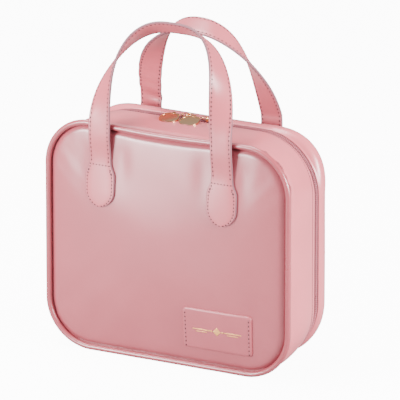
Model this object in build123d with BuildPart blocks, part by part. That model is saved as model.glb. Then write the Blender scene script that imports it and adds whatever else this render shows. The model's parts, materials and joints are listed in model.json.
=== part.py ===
"""Soft zip-round makeup train case: a deep front half, a shallow lid and two strap handles.

Millimetres. +X is to the right, +Y to the back, +Z up. The origin is under the middle of the
case, on the surface that it stands on.
"""
from build123d import *
from collections import namedtuple
from math import cos, pi, radians, sin
import os

os.makedirs("parts", exist_ok=True)

# ---- Driving dimensions -------------------------------------------------------------------
case_width = 240.0  # over the piping
case_height = 210.0  # over the piping
case_depth = 82.0  # front panel's face to the lid's back face
zip_depth = 57.0  # front panel's face to the zip line
piping_diameter = 5.0
piping_corner_radius = 44.0  # outside of the piping
zip_corner_radius = 54.0
lid_edge_radius = 13.0  # the lid's rounded back edge

# ---- Materials' thicknesses ---------------------------------------------------------------
skin = 1.2  # leather
foam = 2.5  # padding between leather and lining
lining = 0.6
board = 3.0  # stiffener behind the front panel

# ---- Seams and clearances -----------------------------------------------------------------
seam_gap = 0.1  # between pieces that are sewn together
board_gap = 0.3  # round the stiffener board
bottom_trim = 0.02  # cut off the base's bottom to make it flat
moving_gap = 0.4  # between the base and the lid
seam_allowance = 9.0  # turned-in edge under the piping
panel_recess = 2.7  # front panel's face behind the front of the piping
gusset_inset = 3.5  # gusset inside the outside of the piping
zip_inset = 0.5  # zip line inside the gusset's front edge

# ---- Zip ----------------------------------------------------------------------------------
tape_width = 11.5
tape = 0.6
coil_width = 2.3  # one half
coil_gap = 1.4  # between the halves, where the slider's post runs
zip_window = 4.0  # zip line to each folded leather edge
zip_end_angle = 45.0  # the zip ends here on each bottom corner
zip_meeting_x = 2.0  # where the two sliders meet
slider_pitch = 20.0
slider_length = 8.0
slider_width = 7.6
slider_plate = 1.0
slider_corner = 2.0
slider_gap = 0.3
post_length = 3.0
post_width = 0.8
bridge_height = 3.0
bridge_width = 1.4
bridge_length = 5.0
bridge_bar = 0.8
bridge_play = 0.1  # under the bridge's bar, round the first link

# ---- Pulls --------------------------------------------------------------------------------
link_length = 5.2
link_width = 3.2
first_link_width = 3.8  # goes round the slider's bridge
link_wire = 0.8
link_count = 4
link_overlap = 0.95  # one link's end inside the next, middle of wire to middle of wire
chain_turn = 40.0  # the chain runs to the left and this much forwards
disc_diameter = 18.0
disc_thickness = 1.5
disc_rim = 0.4
disc_rim_width = 1.0
ear_length = 3.4
gusset_rise = 0.2  # the gusset under the discs is this much higher than at the zip
disc_rest_gap = 0.15  # under a disc's low edge
disc_tilt = 12.0  # the edge beside the zip is lifted by the chain
disc_shift = 0.5  # the disc's middle to the right of the chain's end

# ---- Handles ------------------------------------------------------------------------------
handle_pitch = 119.0  # middle of one leg to middle of the other
handle_x = -4.0  # the straps are sewn a little to the left of the case's middle
strap_width = 21.0
strap = 2.4
tab_width = 29.0
tab_neck = 24.0  # width of a tab at its cross stitch
tab_length = 38.0  # cross stitch down to the tab's round end
tab_flare = 9.0  # cross stitch down to the tab's full width
cross_stitch_drop = 37.0  # top of the case down to the cross stitch
settle_rise = 29.0  # the strap reaches its full stand-off this far above the cross stitch
twist_start = 6.0  # degrees round the arch
leg_gap = 0.5  # strap's end above the fold's axis
leg_stations = 3
arch_stations = 12  # from a leg to the arch's top

Arch = namedtuple("Arch", "roundness start rise lean lean_power twist twist_power stand_off")
# roundness: 2 is an ellipse, more is squarer. start, rise: where the legs begin to curve and the
# arch's top, from the case's top. lean: how far the arch's top leans over the case. twist: the
# strap's turn about its own length by the arch's top. stand_off: the strap's middle from the
# panel where it passes the case's top edge.
front_arch = Arch(2.8, -20.0, 86.0, 31.0, 1.8, 130.0, 1.1, 6.4)
rear_arch = Arch(2.2, -13.0, 80.0, 29.0, 1.0, 115.0, 1.5, 6.2)

# ---- Label patch --------------------------------------------------------------------------
patch_width = 66.0
patch_height = 37.0
patch = 1.8
patch_corner = 3.0
patch_x = 51.0
patch_z = 38.0

# ---- Inside -------------------------------------------------------------------------------
divider = 5.0
divider_gap = 0.4  # a removable divider's clearance to what it stands between
divider_end_gap = 1.4  # the long divider's clearance at each end
divider_edge_radius = 2.0
long_divider_z = 104.0
short_divider_x = 38.0
divider_drop = 15.0  # dividers end this far under the zip line
pocket_width = 180.0
pocket_height = 92.0
pocket_depth = 6.5
pocket_wall = 1.0
pocket_bottom_z = 26.0
pocket_corner = 6.0

# ---- Zip ends -----------------------------------------------------------------------------
end_tab_length = 11.0
end_tab_width = 7.5
end_tab_corner = 2.0
end_tab = 1.2
end_tab_inset = 1.0  # from the tape's front edge
end_tab_gap = 0.3  # over the tape

# ---- Places worked out from the sizes above -----------------------------------------------
front_face = -case_depth / 2
back_face = case_depth / 2
zip_y = front_face + zip_depth
piping_radius = piping_diameter / 2
piping_front = front_face - panel_recess
piping_y = piping_front + piping_radius
flange_y = front_face + skin
gusset_y = flange_y + skin
case_half = case_width / 2
zip_half = case_half - gusset_inset - zip_inset
zip_top = case_height - gusset_inset - zip_inset
gusset_corner = piping_corner_radius - gusset_inset
padded = skin + foam
lined = skin + foam + lining
tape_under = skin + tape
handle_half = handle_pitch / 2
cross_stitch_z = case_height - cross_stitch_drop


def at_depth(y):
    """The plane across the case at a depth: its local axes are +X and +Z."""
    return Plane.XZ.offset(-y)


def case_outline(y, inset, lift=0.0):
    """Draw the case's rounded outline at a depth, moved in by a thickness."""
    share = min(max((y - gusset_y) / (zip_y - gusset_y), 0.0), 1.0)
    half = case_half - gusset_inset + share * (zip_half - case_half + gusset_inset)
    top = case_height - gusset_inset + share * (zip_top - case_height + gusset_inset)
    corner = gusset_corner + share * (zip_corner_radius - gusset_corner)
    low = inset + lift
    high = top - inset
    with Locations((0, (low + high) / 2)):
        RectangleRounded(2 * (half - inset), high - low, corner - inset)


def panel_outline(inset):
    """Draw the piping's rounded outline, moved in from its outside."""
    with Locations((0, case_height / 2)):
        RectangleRounded(case_width - 2 * inset, case_height - 2 * inset,
                         piping_corner_radius - inset)


def base_core(y_start, y_end, inset):
    """A solid of the base's shape between two depths, moved in by a thickness.

    It is drawn a little too low and cut, so that its bottom is a true plane.
    """
    with BuildPart() as core:
        for y in (y_start, y_end):
            with BuildSketch(at_depth(y)):
                case_outline(y, inset, -bottom_trim)
        loft(ruled=True)
        split(bisect_by=Plane.XY.offset(inset), keep=Keep.TOP)
    return core.part


def lid_core(y_start, inset):
    """A solid of the lid's shape from a depth to its back, moved in by a thickness."""
    with BuildPart() as core:
        with BuildSketch(at_depth(zip_y)):
            case_outline(zip_y, inset, moving_gap)
        extrude(amount=-(back_face - inset - zip_y))
        back_edges = core.faces().sort_by(Axis.Y)[-1].edges()
        fillet(back_edges, lid_edge_radius - inset)
        split(bisect_by=at_depth(y_start), keep=Keep.BOTTOM)
    return core.part


def straight_core(y_start, y_end, inset, lift=0.0):
    """A straight solid of the case's outline at the zip, moved in by a thickness."""
    with BuildPart() as core:
        with BuildSketch(at_depth(y_start)):
            case_outline(zip_y, inset, lift)
        extrude(amount=-(y_end - y_start))
    return core.part


def bottom_wedge(y_start, y_end):
    """A solid over the stretch of the outline that lies under the two ends of the zip."""
    centre_x = zip_half - zip_corner_radius
    reach = zip_corner_radius * 2
    out_x = centre_x + reach * sin(radians(zip_end_angle))
    out_z = zip_corner_radius - reach * cos(radians(zip_end_angle))
    with BuildPart() as wedge:
        with BuildSketch(at_depth(y_start)):
            with BuildLine():
                Polyline((-centre_x, zip_corner_radius), (centre_x, zip_corner_radius),
                         (out_x, out_z), (-out_x, out_z), close=True)
            make_face()
        extrude(amount=-(y_end - y_start))
    return wedge.part


def finish(part, name):
    """Label a finished piece and write its file."""
    part.part.label = name
    export_step(part.part, f"parts/{name}.step")


# ---- Base: the deep front half ------------------------------------------------------------
with BuildPart() as front_panel:
    with BuildSketch(at_depth(front_face)):
        panel_outline(piping_diameter + seam_gap)
    extrude(amount=-skin)
finish(front_panel, "front_panel")

with BuildPart() as front_piping:
    with BuildSketch(at_depth(piping_y), mode=Mode.PRIVATE) as roll:
        panel_outline(piping_radius)
    roll_path = roll.sketch.faces()[0].outer_wire()
    with BuildSketch(Plane(origin=roll_path @ 0, z_dir=roll_path % 0)):
        Circle(piping_radius)
    sweep(path=roll_path)
    with BuildSketch(at_depth(flange_y)):
        panel_outline(piping_radius)
        with BuildSketch(mode=Mode.PRIVATE) as opening:
            panel_outline(piping_radius + seam_allowance)
        add(opening.sketch, mode=Mode.SUBTRACT)
    extrude(amount=-(skin - seam_gap))
finish(front_piping, "front_piping")

with BuildPart() as front_board:
    with BuildSketch(at_depth(front_face + skin)):
        panel_outline(piping_radius + seam_allowance + board_gap)
    extrude(amount=-board)
finish(front_board, "front_board")

with BuildPart() as front_gusset:
    add(base_core(gusset_y, zip_y - zip_window, 0))
    add(base_core(gusset_y + skin, zip_y - zip_window, skin), mode=Mode.SUBTRACT)
    with BuildSketch(at_depth(gusset_y)):
        panel_outline(piping_radius + seam_allowance + seam_gap)
    extrude(amount=-skin, mode=Mode.SUBTRACT)
finish(front_gusset, "front_gusset")

padding_y = gusset_y + skin
padding_end = zip_y - tape_width - seam_gap
with BuildPart() as gusset_foam:
    add(base_core(padding_y, padding_end, skin))
    add(base_core(padding_y, padding_end, padded), mode=Mode.SUBTRACT)
finish(gusset_foam, "gusset_foam")

lining_y = front_face + skin + board
with BuildPart() as base_lining:
    add(base_core(lining_y, lining_y + lining, padded))
finish(base_lining, "base_lining")

side_lining_y = lining_y + lining + seam_gap
with BuildPart() as side_lining:
    add(base_core(side_lining_y, padding_end, padded))
    add(base_core(side_lining_y, padding_end, lined), mode=Mode.SUBTRACT)
finish(side_lining, "side_lining")

with BuildPart() as front_tape:
    tape_ends = (zip_y - tape_width, zip_y - coil_gap / 2)
    add(straight_core(*tape_ends, skin))
    add(straight_core(*tape_ends, tape_under), mode=Mode.SUBTRACT)
    add(bottom_wedge(*tape_ends), mode=Mode.SUBTRACT)
finish(front_tape, "front_tape")

with BuildPart() as front_coil:
    coil_ends = (zip_y - coil_gap / 2 - coil_width, zip_y - coil_gap / 2)
    add(straight_core(*coil_ends, 0))
    add(straight_core(*coil_ends, skin), mode=Mode.SUBTRACT)
    add(bottom_wedge(*coil_ends), mode=Mode.SUBTRACT)
finish(front_coil, "front_coil")

hinge_edge = moving_gap / 2
with BuildPart() as hinge_strip:
    strip_ends = (zip_y - zip_window, zip_y - hinge_edge)
    add(straight_core(*strip_ends, 0))
    add(straight_core(*strip_ends, skin), mode=Mode.SUBTRACT)
    add(bottom_wedge(*strip_ends), mode=Mode.INTERSECT)
finish(hinge_strip, "hinge_strip")

with BuildPart() as label_patch:
    with BuildSketch(at_depth(front_face - patch)):
        with Locations((patch_x, patch_z)):
            RectangleRounded(patch_width, patch_height, patch_corner)
    extrude(amount=-patch)
finish(label_patch, "label_patch")

# The zip's ends are covered by small leather tabs on the inside of the bottom corners.
end_turn = radians(zip_end_angle)
end_x = zip_half - zip_corner_radius + (zip_corner_radius - tape_under) * sin(end_turn)
end_z = zip_corner_radius - (zip_corner_radius - tape_under) * cos(end_turn)
with BuildPart() as zip_end_tabs:
    for side in (-1, 1):
        inward = Vector(-side * sin(end_turn), 0, cos(end_turn))
        tab_middle = Vector(side * end_x, zip_y - tape_width + end_tab_width / 2 + end_tab_inset, end_z)
        tab_plane = Plane(origin=tab_middle + inward * end_tab_gap, x_dir=(0, 1, 0), z_dir=inward)
        with BuildSketch(tab_plane):
            RectangleRounded(end_tab_width, end_tab_length, end_tab_corner)
        extrude(amount=end_tab)
finish(zip_end_tabs, "zip_end_tabs")

# Removable padded dividers stand on the front lining.
divider_y = lining_y + lining + divider_gap
divider_end = zip_y - divider_drop
divider_reach = zip_half - lined - divider_end_gap
with BuildPart() as long_divider:
    with BuildSketch(at_depth(divider_y)):
        with Locations((0, long_divider_z)):
            Rectangle(2 * divider_reach, divider)
    extrude(amount=-(divider_end - divider_y))
    back_edges = long_divider.faces().sort_by(Axis.Y)[-1].edges().filter_by(Axis.X)
    fillet(back_edges, divider_edge_radius)
finish(long_divider, "long_divider")

short_low = lined + divider_gap
short_high = long_divider_z - divider / 2 - divider_gap
for side, side_name in ((-1, "left"), (1, "right")):
    with BuildPart() as short_divider:
        with BuildSketch(at_depth(divider_y)):
            with Locations((side * short_divider_x, (short_low + short_high) / 2)):
                Rectangle(divider, short_high - short_low)
        extrude(amount=-(divider_end - divider_y))
        back_edges = short_divider.faces().sort_by(Axis.Y)[-1].edges().filter_by(Axis.Z)
        fillet(back_edges, divider_edge_radius)
    finish(short_divider, f"{side_name}_divider")

# ---- Lid: the shallow back half -----------------------------------------------------------
with BuildPart() as rear_shell:
    add(lid_core(zip_y + zip_window, 0))
    add(lid_core(zip_y + zip_window, skin), mode=Mode.SUBTRACT)
finish(rear_shell, "rear_shell")

rear_tape_width = min(tape_width, back_face - lid_edge_radius - zip_y - seam_gap)
lid_padding_y = zip_y + rear_tape_width + seam_gap
with BuildPart() as lid_foam:
    add(lid_core(lid_padding_y, skin))
    add(lid_core(lid_padding_y, padded), mode=Mode.SUBTRACT)
finish(lid_foam, "lid_foam")

with BuildPart() as lid_lining:
    add(lid_core(lid_padding_y, padded))
    add(lid_core(lid_padding_y, lined), mode=Mode.SUBTRACT)
finish(lid_lining, "lid_lining")

with BuildPart() as rear_tape:
    tape_ends = (zip_y + coil_gap / 2, zip_y + rear_tape_width)
    add(straight_core(*tape_ends, skin, moving_gap))
    add(straight_core(*tape_ends, tape_under, moving_gap), mode=Mode.SUBTRACT)
    add(bottom_wedge(*tape_ends), mode=Mode.SUBTRACT)
finish(rear_tape, "rear_tape")

with BuildPart() as rear_coil:
    coil_ends = (zip_y + coil_gap / 2, zip_y + coil_gap / 2 + coil_width)
    add(straight_core(*coil_ends, 0, moving_gap))
    add(straight_core(*coil_ends, skin, moving_gap), mode=Mode.SUBTRACT)
    add(bottom_wedge(*coil_ends), mode=Mode.SUBTRACT)
finish(rear_coil, "rear_coil")

with BuildPart() as lid_hinge_strip:
    strip_ends = (zip_y + hinge_edge, zip_y + zip_window)
    add(straight_core(*strip_ends, 0, moving_gap))
    add(straight_core(*strip_ends, skin, moving_gap), mode=Mode.SUBTRACT)
    add(bottom_wedge(*strip_ends), mode=Mode.INTERSECT)
finish(lid_hinge_strip, "lid_hinge_strip")

pocket_back = back_face - lined - seam_gap
with BuildPart() as lid_pocket:
    with BuildSketch(at_depth(pocket_back - pocket_depth)):
        with Locations((0, pocket_bottom_z + pocket_height / 2)):
            RectangleRounded(pocket_width, pocket_height, pocket_corner)
    extrude(amount=-pocket_depth)
    with BuildSketch(at_depth(pocket_back - pocket_depth + pocket_wall)):
        with Locations((0, pocket_bottom_z + pocket_height / 2 + pocket_wall)):
            Rectangle(pocket_width - 2 * pocket_wall, pocket_height)
    extrude(amount=-(pocket_depth - pocket_wall), mode=Mode.SUBTRACT)
finish(lid_pocket, "lid_pocket")

# ---- Sliders and pulls --------------------------------------------------------------------
slider_top = zip_top + slider_gap
slider_under = zip_top - tape_under - slider_gap
plate_top = slider_top + slider_plate
pivot_z = plate_top + bridge_height - bridge_bar - link_wire - bridge_play
link_pitch = link_length - link_wire - link_overlap
chain_run = Vector(-cos(radians(chain_turn)), -sin(radians(chain_turn)), 0)
disc_low_edge = disc_diameter / 2 * sin(radians(disc_tilt)) + disc_thickness / 2
disc_middle_z = zip_top + gusset_rise + disc_rest_gap + disc_low_edge
left_x = zip_meeting_x - slider_pitch / 2
right_x = zip_meeting_x + slider_pitch / 2

for slider_x, side_name in ((left_x, "left"), (right_x, "right")):
    with BuildPart() as slider:
        for plate_z in (slider_top, slider_under - slider_plate):
            with BuildSketch(Plane.XY.offset(plate_z)):
                with Locations((slider_x, zip_y)):
                    RectangleRounded(slider_length, slider_width, slider_corner)
            extrude(amount=slider_plate)
        with BuildSketch(Plane.XY.offset(slider_under)):
            with Locations((slider_x, zip_y)):
                Rectangle(post_length, post_width)
        extrude(amount=slider_top - slider_under)
        with BuildSketch(at_depth(zip_y - bridge_width / 2)):
            with Locations((slider_x, plate_top + bridge_height / 2)):
                Rectangle(bridge_length, bridge_height)
            with Locations((slider_x, plate_top + (bridge_height - bridge_bar) / 2)):
                Rectangle(bridge_length - 2 * bridge_bar, bridge_height - bridge_bar,
                          mode=Mode.SUBTRACT)
        extrude(amount=-bridge_width)
    finish(slider, f"{side_name}_slider")

    # The chain lies to the left of its slider. Its first link is flat and goes round the bridge,
    # and the rest are turned a half of a right angle one way and the other, as in a curb chain.
    link_start = Vector(slider_x, zip_y, pivot_z)
    with BuildPart() as chain:
        for number in range(link_count):
            roll_turn = 0 if number == 0 else 45 * (-1) ** number
            width = first_link_width if number == 0 else link_width
            run = Vector(-1, 0, 0) if number == 0 else chain_run
            middle = link_start + run * (link_length - link_wire) / 2
            link_start = link_start + run * link_pitch
            upwards = Vector(0, 0, 1).rotate(Axis((0, 0, 0), run), roll_turn)
            link_plane = Plane(origin=middle, x_dir=run, z_dir=upwards)
            with BuildSketch(link_plane, mode=Mode.PRIVATE) as link_shape:
                SlotOverall(link_length - link_wire, width - link_wire)
            link_path = link_shape.sketch.faces()[0].outer_wire()
            with BuildSketch(Plane(origin=link_path @ 0, z_dir=link_path % 0)):
                Circle(link_wire / 2)
            sweep(path=link_path)
    finish(chain, f"{side_name}_chain")

    # The disc hangs by its ear on the last link and leans on the gusset in front of the zip.
    chain_end = link_start + chain_run * link_overlap
    tilt = radians(disc_tilt)
    disc_reach = disc_diameter / 2 + ear_length / 2
    disc_middle = Vector(chain_end.X + disc_shift, chain_end.Y - disc_reach * cos(tilt), disc_middle_z)
    disc_plane = Plane(origin=disc_middle, x_dir=(1, 0, 0), z_dir=(0, -sin(tilt), cos(tilt)))
    with BuildPart() as disc:
        with BuildSketch(disc_plane.offset(-disc_thickness / 2)):
            Circle(disc_diameter / 2)
        extrude(amount=disc_thickness)
        with BuildSketch(disc_plane.offset(disc_thickness / 2 - disc_rim)):
            Circle(disc_diameter / 2 - disc_rim_width)
        extrude(amount=disc_rim, mode=Mode.SUBTRACT)
        with BuildSketch(disc_plane.offset(-link_wire / 2)):
            with Locations((0, disc_diameter / 2 + ear_length / 2 - link_wire)):
                Circle(ear_length / 2)
                Circle(ear_length / 2 - link_wire, mode=Mode.SUBTRACT)
        extrude(amount=link_wire)
    finish(disc, f"{side_name}_disc")


# ---- Handles ------------------------------------------------------------------------------
def strap_station(arch, turn, low=None):
    """The strap's place, run and face at an angle round half the arch, or at a height on the leg.

    The strap's face looks straight out from the panel on the leg, and turns outwards and then
    back over the case towards the arch's top.
    """
    arch_height = arch.rise - arch.start
    if low is not None:
        x, z = -handle_half, low
        along = Vector(0, 0, 1)
    else:
        power = 2 / arch.roundness
        x = -handle_half * abs(cos(turn)) ** power
        z = case_height + arch.start + arch_height * sin(turn) ** power
        along = Vector(handle_half * sin(turn) ** (2 - power), 0,
                       arch_height * abs(cos(turn)) ** (2 - power)).normalized()
    outwards = Vector(-along.Z, 0, along.X)
    rise = min(max((z - cross_stitch_z) / settle_rise, 0.0), 1.0)
    stand_off = strap / 2 + (arch.stand_off - strap / 2) * (1 - cos(rise * pi)) / 2
    over = max(z - case_height, 0.0) / arch.rise
    start = radians(twist_start)
    share = max((turn if low is None else 0) - start, 0.0) / (pi / 2 - start)
    twist = radians(arch.twist) * sin(share * pi / 2) ** arch.twist_power
    face = Vector(0, -1, 0) * cos(twist) + outwards * sin(twist)
    place = Vector(x, front_face - stand_off + arch.lean * over ** arch.lean_power, z)
    return place, along, face


def strap_planes(arch):
    """Sections across the front strap, from the left leg's end over the arch to the right's."""
    stations = []
    leg_start = cross_stitch_z + leg_gap
    leg_run = case_height + arch.start - leg_start
    for number in range(leg_stations):
        stations.append(strap_station(arch, 0, leg_start + leg_run * number / leg_stations))
    for number in range(arch_stations + 1):
        stations.append(strap_station(arch, pi / 2 * number / arch_stations))
    places = [station[0] for station in stations]
    planes = []
    for number, (place, along, face) in enumerate(stations):
        before = places[max(number - 1, 0)]
        after = places[min(number + 1, len(places) - 1)]
        run = (after - before).normalized() if number < len(places) - 1 else Vector(1, 0, 0)
        planes.append((place, run, face.cross(run).normalized()))
    mirrored = [(Vector(-place.X, place.Y, place.Z), Vector(run.X, -run.Y, -run.Z),
                 Vector(-across.X, across.Y, across.Z))
                for place, run, across in reversed(planes[:-1])]
    return planes + mirrored


for end, end_name, arch in ((1, "front", front_arch), (-1, "rear", rear_arch)):
    with BuildPart() as handle:
        for place, run, across in strap_planes(arch):
            section = Plane(origin=(place.X + handle_x, end * place.Y, place.Z),
                            x_dir=(across.X, end * across.Y, across.Z),
                            z_dir=(run.X, end * run.Y, run.Z))
            with BuildSketch(section):
                Rectangle(strap_width, strap)
        loft(ruled=True)
    finish(handle, f"{end_name}_handle")

    tab_round = tab_width / 2
    tab_low = cross_stitch_z - tab_length + tab_round
    tab_top = cross_stitch_z - leg_gap
    tab_shoulder = tab_top - tab_flare
    with BuildPart() as tabs:
        with BuildSketch(at_depth(front_face - strap if end > 0 else back_face)):
            for side in (-1, 1):
                middle = handle_x + side * handle_half
                left = middle - tab_round
                right = middle + tab_round
                with BuildLine():
                    Polyline((right, tab_low), (right, tab_shoulder), (middle + tab_neck / 2, tab_top),
                             (middle - tab_neck / 2, tab_top), (left, tab_shoulder), (left, tab_low))
                    ThreePointArc((left, tab_low), (middle, tab_low - tab_round), (right, tab_low))
                make_face()
        extrude(amount=-strap)
    finish(tabs, f"{end_name}_handle_tabs")
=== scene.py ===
import json
from math import atan2, cos, exp, pi, radians, sin, sqrt

import bmesh
import bpy
from mathutils import Matrix, Vector, noise
from mathutils.bvhtree import BVHTree


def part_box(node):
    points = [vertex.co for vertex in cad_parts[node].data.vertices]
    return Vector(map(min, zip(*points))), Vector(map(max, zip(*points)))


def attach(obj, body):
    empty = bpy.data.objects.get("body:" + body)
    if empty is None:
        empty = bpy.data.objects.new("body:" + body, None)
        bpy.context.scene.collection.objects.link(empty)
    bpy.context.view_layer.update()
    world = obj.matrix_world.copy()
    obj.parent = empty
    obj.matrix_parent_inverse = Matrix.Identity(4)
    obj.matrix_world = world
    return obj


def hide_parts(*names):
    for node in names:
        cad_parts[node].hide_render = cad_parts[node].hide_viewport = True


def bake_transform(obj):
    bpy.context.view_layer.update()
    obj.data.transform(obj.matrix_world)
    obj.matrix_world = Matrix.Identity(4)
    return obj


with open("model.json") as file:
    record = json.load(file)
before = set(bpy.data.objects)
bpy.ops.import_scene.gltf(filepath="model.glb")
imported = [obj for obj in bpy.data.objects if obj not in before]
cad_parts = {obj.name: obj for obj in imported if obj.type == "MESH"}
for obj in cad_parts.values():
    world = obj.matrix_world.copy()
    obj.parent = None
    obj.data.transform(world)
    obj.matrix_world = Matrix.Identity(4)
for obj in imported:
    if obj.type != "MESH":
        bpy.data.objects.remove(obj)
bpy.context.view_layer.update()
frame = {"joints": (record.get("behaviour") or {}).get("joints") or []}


# ---- Front panel --------------------------------------------------------------------------
# The face of the case: synthetic leather over thin foam, cut as a rounded rectangle and sewn
# in under the piping all round, so that it is tight at the edge and crowned in the middle.
mm = 0.001
panel_low, panel_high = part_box("front_panel")
front_face = panel_low.y
panel_crown = 6.5 * mm
crown_edge = 2.4  # how late the crown falls off towards the edges
crown_flatness = 0.75
cloth_share = 0.35  # of the crown's shape; the rest is drawn
least_rise = 0.2 * mm  # less than this means that the cloth wasn't run
panel_corner = 39 * mm
pad_depth = 9 * mm
tuck = 2.6 * mm  # under the piping
handle_x = (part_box("front_handle")[0].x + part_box("front_handle")[1].x) / 2
handle_half = 59.5 * mm
tab_places = (handle_x - handle_half, handle_x + handle_half)
tab_dents = ((-1, 0.9 * mm), (1, 1.3 * mm))  # beside each tab: side, depth
dent_away, dent_height = 19 * mm, 178 * mm
dent_width, dent_length = 9 * mm, 24 * mm
slack_depth, slack_size = 0.5 * mm, 55 * mm
pad_voxel = 4 * mm
groove = 2.4 * mm  # deep and wide, where the panel meets the piping
top_sag = 2.2 * mm
sag_reach = 92 * mm


def clamp(value):
    """The value, kept between 0 and 1."""
    return min(max(value, 0), 1)


def fade(distance, reach):
    """A smooth bump: 1 at no distance, and close to nothing past the reach."""
    return exp(-(distance / reach) ** 2)


def deselect():
    """Leave nothing selected, in object mode."""
    if bpy.context.object and bpy.context.object.mode != "OBJECT":
        bpy.ops.object.mode_set(mode="OBJECT")
    bpy.ops.object.select_all(action="DESELECT")


def pick(piece):
    """Select one piece alone and make it active."""
    deselect()
    piece.select_set(True)
    bpy.context.view_layer.objects.active = piece


def settle(piece):
    """Put the piece's place, turn and size into its mesh."""
    pick(piece)
    bpy.ops.object.transform_apply(location=True, rotation=True, scale=True)


def apply_modifier(piece, kind, **settings):
    """Add a modifier with these settings and apply it."""
    pick(piece)
    modifier = piece.modifiers.new(kind.title(), kind)
    for setting, value in settings.items():
        setattr(modifier, setting, value)
    bpy.ops.object.modifier_apply(modifier=modifier.name)


def rounded_plate(name, low, high, corner, segments=12):
    """A flat-sided plate between two corners, its four upright corners rounded."""
    deselect()
    bpy.ops.mesh.primitive_cube_add(size=1, location=(low + high) / 2)
    plate = bpy.context.object
    plate.name = name
    plate.scale = high - low
    settle(plate)
    bpy.ops.object.mode_set(mode="EDIT")
    bpy.ops.mesh.select_all(action="DESELECT")
    edit = bmesh.from_edit_mesh(plate.data)
    for edge in edit.edges:
        run = edge.verts[1].co - edge.verts[0].co
        edge.select_set(abs(run.y) > 0.9 * run.length)
    bmesh.update_edit_mesh(plate.data)
    bpy.ops.mesh.bevel(offset=corner, segments=segments, profile=0.5)
    bpy.ops.object.mode_set(mode="OBJECT")
    return plate


def sunk(place):
    """The same place, sunk where the unsupported top edge dips between the handles."""
    near_top = clamp((place.z - panel_high.z + 34 * mm) / (30 * mm))
    between = cos(min(abs(place.x - handle_x) / sag_reach, 1) * pi / 2) ** 2
    forward = clamp((front_face + 13 * mm - place.y) / (8 * mm))
    return place - Vector((0, 0, top_sag * near_top * between * forward))


def swell(pad, held, most, pressure=4.0):
    """Blow a pad up as cloth, with the points that `held` names kept still, and cap its growth."""
    rest = [vertex.co.copy() for vertex in pad.data.vertices]
    pins = pad.vertex_groups.new(name="sewn")
    pins.add([v.index for v in pad.data.vertices if held(v.co)], 1.0, "REPLACE")
    pick(pad)
    cloth = pad.modifiers.new("Cloth", "CLOTH")
    cloth.settings.vertex_group_mass = "sewn"
    cloth.settings.use_pressure = True
    cloth.settings.uniform_pressure_force = pressure
    cloth.settings.effector_weights.gravity = 0
    cloth.settings.quality = 5
    cloth.point_cache.frame_start = 1
    cloth.point_cache.frame_end = 20
    for step in range(1, 21):
        bpy.context.scene.frame_set(step)
    bpy.ops.object.modifier_apply(modifier=cloth.name)
    bpy.context.scene.frame_set(1)
    for vertex, old in zip(pad.data.vertices, rest):
        move = vertex.co - old
        if move.length > most:
            vertex.co = old + move * (most / move.length)
    return rest


def patterned(nodes, link, kind, scale, detail=None):
    """A texture on the piece's own Object coordinates."""
    place = nodes.new("ShaderNodeTexCoord")
    texture = nodes.new(kind)
    texture.inputs["Scale"].default_value = scale
    if detail is not None:
        texture.inputs["Detail"].default_value = detail
    link(place.outputs["Object"], texture.inputs["Vector"])
    return texture


def two_tone(nodes, link, mask, color, shade):
    """Blend two colours, each a value or a socket, by a mask."""
    blend = nodes.new("ShaderNodeMix")
    blend.data_type = "RGBA"
    link(mask, blend.inputs["Factor"])
    for name, tone in (("A", color), ("B", shade)):
        if isinstance(tone, tuple):
            blend.inputs[name].default_value = (*tone, 1)
        else:
            link(tone, blend.inputs[name])
    return blend.outputs["Result"]


def rougher(nodes, link, mask, most, base):
    """Add up to this much roughness to a base, by a mask."""
    added = nodes.new("ShaderNodeMath")
    added.operation = "MULTIPLY_ADD"
    added.inputs[1].default_value = most
    link(mask, added.inputs[0])
    link(base, added.inputs[2])
    return added.outputs["Value"]


def leather_group():
    """Fine pebbled grain, slight mottling and uneven gloss for every leather piece."""
    group = bpy.data.node_groups.new("leather grain", "ShaderNodeTree")
    make = group.interface.new_socket
    for name, kind, value in (("Color", "NodeSocketColor", (0.8, 0.4, 0.4, 1)),
                              ("Shade", "NodeSocketColor", (0.6, 0.3, 0.3, 1)),
                              ("Roughness", "NodeSocketFloat", 0.4),
                              ("Grain", "NodeSocketFloat", 0.15),
                              ("Softness", "NodeSocketFloat", 0.3)):
        make(name=name, in_out="INPUT", socket_type=kind).default_value = value
    for name, kind in (("Color", "NodeSocketColor"), ("Roughness", "NodeSocketFloat"),
                       ("Normal", "NodeSocketVector")):
        make(name=name, in_out="OUTPUT", socket_type=kind)
    nodes, link = group.nodes, group.links.new
    given, outputs = nodes.new("NodeGroupInput").outputs, nodes.new("NodeGroupOutput").inputs
    mottle = patterned(nodes, link, "ShaderNodeTexNoise", 22, 5)
    spread = nodes.new("ShaderNodeMapRange")
    spread.inputs["From Min"].default_value = 0.35
    spread.inputs["From Max"].default_value = 0.75
    link(mottle.outputs["Fac"], spread.inputs["Value"])
    link(two_tone(nodes, link, spread.outputs["Result"], given["Color"], given["Shade"]),
         outputs["Color"])
    link(rougher(nodes, link, mottle.outputs["Fac"], 0.10, given["Roughness"]),
         outputs["Roughness"])
    waves = patterned(nodes, link, "ShaderNodeTexNoise", 14, 2)
    pebbles = patterned(nodes, link, "ShaderNodeTexVoronoi", 900)
    pebbles.feature = "SMOOTH_F1"
    normal = None
    for height, depth, strength in ((waves.outputs["Fac"], 1.6 * mm, given["Softness"]),
                                    (pebbles.outputs["Distance"], 0.1 * mm, given["Grain"])):
        bump = nodes.new("ShaderNodeBump")
        bump.inputs["Distance"].default_value = depth
        link(height, bump.inputs["Height"])
        link(strength, bump.inputs["Strength"])
        if normal:
            link(normal, bump.inputs["Normal"])
        normal = bump.outputs["Normal"]
    link(normal, outputs["Normal"])
    return group


leather_grain = leather_group()


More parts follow.
